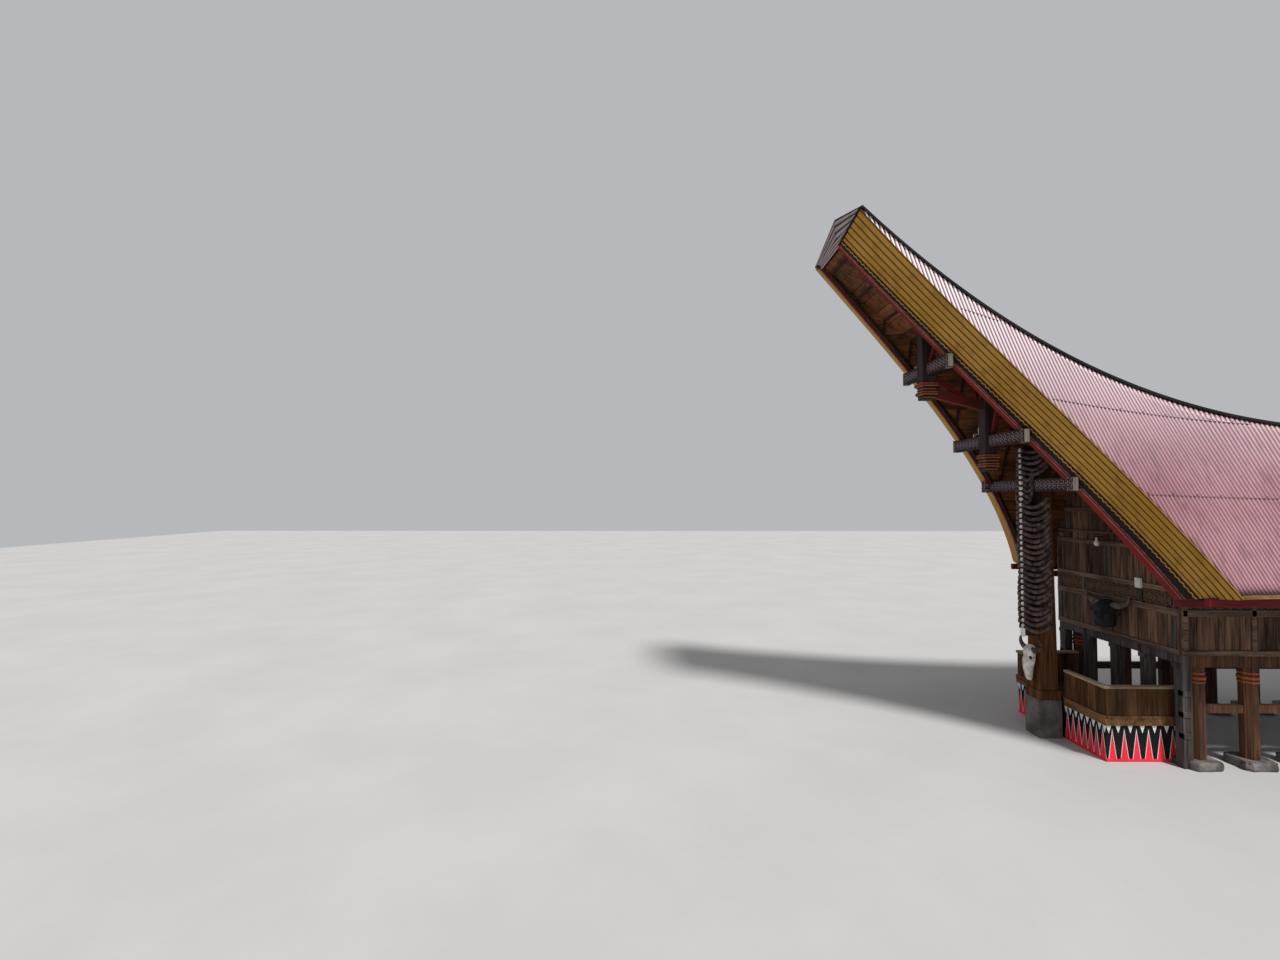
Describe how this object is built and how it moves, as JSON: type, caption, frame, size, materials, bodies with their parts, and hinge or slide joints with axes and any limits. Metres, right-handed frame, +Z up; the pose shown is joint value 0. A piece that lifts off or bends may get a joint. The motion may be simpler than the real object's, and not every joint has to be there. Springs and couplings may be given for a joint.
{
  "type": "tongkonan house",
  "caption": "Boarded pillar house with a saddle-backed sheet metal roof, long overhangs, a horn post and a railed front veranda.",
  "frame": {"origin": "on the ground, under the middle of the roof", "axes": "+Z up, the front with the horn post faces -Y, +X is the right-hand side for someone facing the front"},
  "size_m": [6.2312, 19.9992, 11.2847],
  "materials": {
    "roof_sheets": "faded pink corrugated roofing sheets",
    "gable_sheets": "ochre yellow corrugated sheets, streaked with dirt",
    "fascia_sheets": "dark brown corrugated sheets, rusted",
    "bargeboards": "dark red painted boards",
    "lining_boards": "orange-brown varnished boards",
    "eave_boards": "weathered boards",
    "frame_timber": "weathered grey timber",
    "red_timber": "red-brown timber",
    "post_timber": "brown timber",
    "footings": "rough concrete",
    "horns": "dark horn, stands in for natural horn",
    "skull": "dry bone, stands in for natural bone",
    "carved_head": "black painted carving",
    "wall_boards": "weathered carved boards",
    "floor_boards": "brown boards",
    "pillar_timber": "brown round-worked timber on flat stones",
    "painted_base": "red, white and black painted boards",
    "railing_boards": "brown oiled boards"
  },
  "bodies": {
    "root": {"roof_slope_right": "roof_sheets", "roof_slope_left": "roof_sheets", "roof_lining_right": "lining_boards", "roof_lining_left": "lining_boards", "eave_soffit_right": "eave_boards", "eave_soffit_left": "eave_boards", "gable_band_front_right": "gable_sheets", "gable_band_front_left": "gable_sheets", "gable_band_rear_right": "gable_sheets", "gable_band_rear_left": "gable_sheets", "bargeboard_front_right": "bargeboards", "bargeboard_front_left": "bargeboards", "bargeboard_rear_right": "bargeboards", "bargeboard_rear_left": "bargeboards", "roof_cap": "roof_sheets", "cap_lining": "lining_boards", "cap_fascia_front": "fascia_sheets", "cap_fascia_rear": "fascia_sheets", "cross_beam_front_upper": "frame_timber", "cross_beam_front_middle": "frame_timber", "cross_beam_front_lower": "frame_timber", "cross_beam_rear_upper": "frame_timber", "cross_beam_rear_middle": "frame_timber", "cross_beam_rear_lower": "frame_timber", "hanging_post_front_upper": "frame_timber", "hanging_post_front_lower": "frame_timber", "hanging_post_rear_upper": "frame_timber", "hanging_post_rear_lower": "frame_timber", "cantilever_beam_front": "red_timber", "cantilever_beam_rear": "red_timber", "horn_post": "post_timber", "horn_post_block": "footings", "rear_overhang_post": "post_timber", "rear_overhang_post_block": "footings", "horn_stack": "horns", "buffalo_skull": "skull", "buffalo_head": "carved_head", "front_wall": "wall_boards", "rear_wall": "wall_boards", "side_wall_right": "wall_boards", "side_wall_left": "wall_boards", "floor": "floor_boards", "post_row_front": "frame_timber", "post_row_rear": "frame_timber", "pillar_row_right": "pillar_timber", "pillar_row_left": "pillar_timber", "veranda_base": "painted_base", "veranda_floor": "floor_boards", "railing_right": "railing_boards", "railing_left": "railing_boards"}
  },
  "joints": []
}
